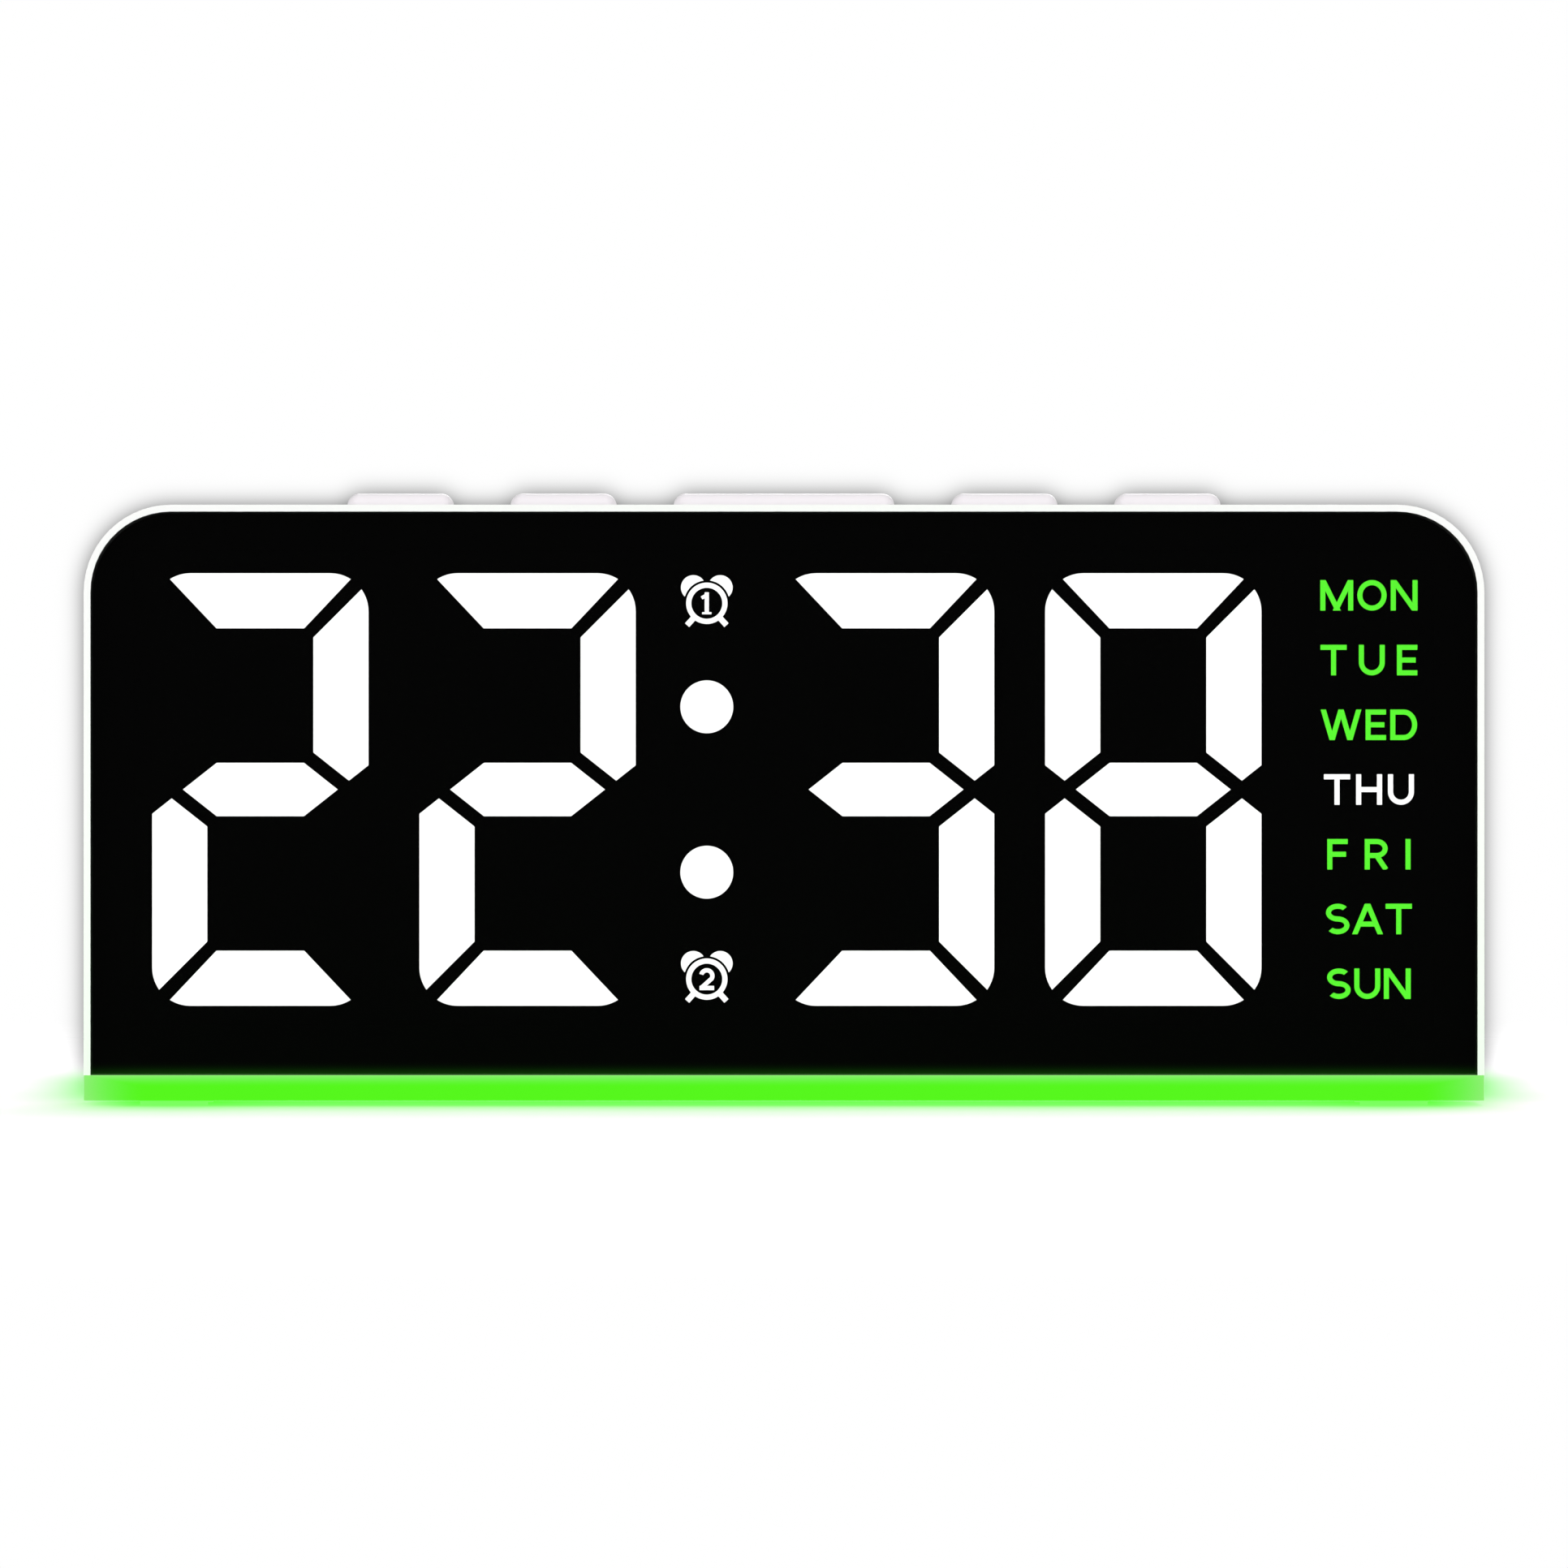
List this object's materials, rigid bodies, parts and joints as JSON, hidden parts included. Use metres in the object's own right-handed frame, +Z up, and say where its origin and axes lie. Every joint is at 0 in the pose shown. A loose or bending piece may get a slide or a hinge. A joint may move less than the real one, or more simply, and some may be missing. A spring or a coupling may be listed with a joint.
{
  "type": "digital day clock",
  "caption": "Mains and battery bedside clock with a large lit display, a weekday column, top keys with a snooze bar, and a glowing night light base.",
  "frame": {"origin": "middle of the footprint, on the surface that the feet stand on", "axes": "+X to the right of a person who reads the clock, +Y from the display to the back, +Z up"},
  "size_m": [0.165, 0.042, 0.0723],
  "materials": {
    "case_white": "fine matt moulded ABS",
    "key_white": "satin moulded ABS",
    "lens_smoked": "polished smoked acrylic",
    "tape_black": "foam tape",
    "mask_black": "printed black film",
    "reflector_white": "white moulded reflector",
    "digit_white": "lit milky resin",
    "segment_dark": "unlit tinted resin",
    "word_green": "lit green print",
    "board_green": "solder mask",
    "led_milky": "LED package",
    "chip_black": "moulded epoxy",
    "plated_steel": "nickel plated",
    "capacitor_sleeve": "shrink sleeve",
    "cell_wrap": "printed cell wrap, plain",
    "plunger_grey": "moulded nylon",
    "base_milky": "lit milky polycarbonate",
    "foot_rubber": "milky silicone rubber"
  },
  "bodies": {
    "case": {"alarm_one_icon": "digit_white", "alarm_two_icon": "digit_white", "base_screws": "plated_steel", "battery_cells": "cell_wrap", "battery_plates": "plated_steel", "battery_springs": "plated_steel", "board_header": "chip_black", "buzzer": "chip_black", "capacitors": "capacitor_sleeve", "case_screws": "plated_steel", "colon_dots": "digit_white", "crystal": "plated_steel", "digit_hour_tens": "digit_white", "digit_hour_units": "digit_white", "digit_minute_tens": "digit_white", "digit_minute_units": "digit_white", "display_board": "board_green", "display_board_screws": "plated_steel", "display_leds": "led_milky", "display_mask": "mask_black", "driver_chips": "chip_black", "friday_word": "word_green", "front_lens": "lens_smoked", "front_shell": "case_white", "key_board": "board_green", "key_board_screws": "plated_steel", "lens_tape": "tape_black", "light_base": "base_milky", "monday_word": "word_green", "night_light_board": "board_green", "night_light_leds": "led_milky", "power_board": "board_green", "power_board_screws": "plated_steel", "power_socket": "plated_steel", "rear_cover": "case_white", "reflector_block": "reflector_white", "rubber_feet": "foot_rubber", "saturday_word": "word_green", "sunday_word": "word_green", "switch_domes": "plated_steel", "switch_housings": "chip_black", "thursday_word": "digit_white", "tuesday_word": "word_green", "unlit_segments": "segment_dark", "wednesday_word": "word_green"},
    "outer_left_key": {"outer_left_button": "key_white", "outer_left_plunger": "plunger_grey"},
    "inner_left_key": {"inner_left_button": "key_white", "inner_left_plunger": "plunger_grey"},
    "snooze_key": {"snooze_button": "key_white", "snooze_plunger": "plunger_grey"},
    "inner_right_key": {"inner_right_button": "key_white", "inner_right_plunger": "plunger_grey"},
    "outer_right_key": {"outer_right_button": "key_white", "outer_right_plunger": "plunger_grey"},
    "door": {"battery_door": "case_white"}
  },
  "joints": [
    {"name": "outer_left_press", "type": "slide", "parent": "case", "child": "outer_left_key", "axis": [0, 0, -1], "range_m": [0, 0.0005], "stiffness_N_per_m": 500, "springref_m": -0.0008},
    {"name": "inner_left_press", "type": "slide", "parent": "case", "child": "inner_left_key", "axis": [0, 0, -1], "range_m": [0, 0.0005], "stiffness_N_per_m": 500, "springref_m": -0.0008},
    {"name": "snooze_press", "type": "slide", "parent": "case", "child": "snooze_key", "axis": [0, 0, -1], "range_m": [0, 0.0005], "stiffness_N_per_m": 500, "springref_m": -0.0008},
    {"name": "inner_right_press", "type": "slide", "parent": "case", "child": "inner_right_key", "axis": [0, 0, -1], "range_m": [0, 0.0005], "stiffness_N_per_m": 500, "springref_m": -0.0008},
    {"name": "outer_right_press", "type": "slide", "parent": "case", "child": "outer_right_key", "axis": [0, 0, -1], "range_m": [0, 0.0005], "stiffness_N_per_m": 500, "springref_m": -0.0008},
    {"name": "battery_door_tip", "type": "hinge", "parent": "case", "child": "door", "pos_m": [0, 0.021, 0.0188], "axis": [-1, 0, 0], "range_deg": [0, 75]}
  ]
}
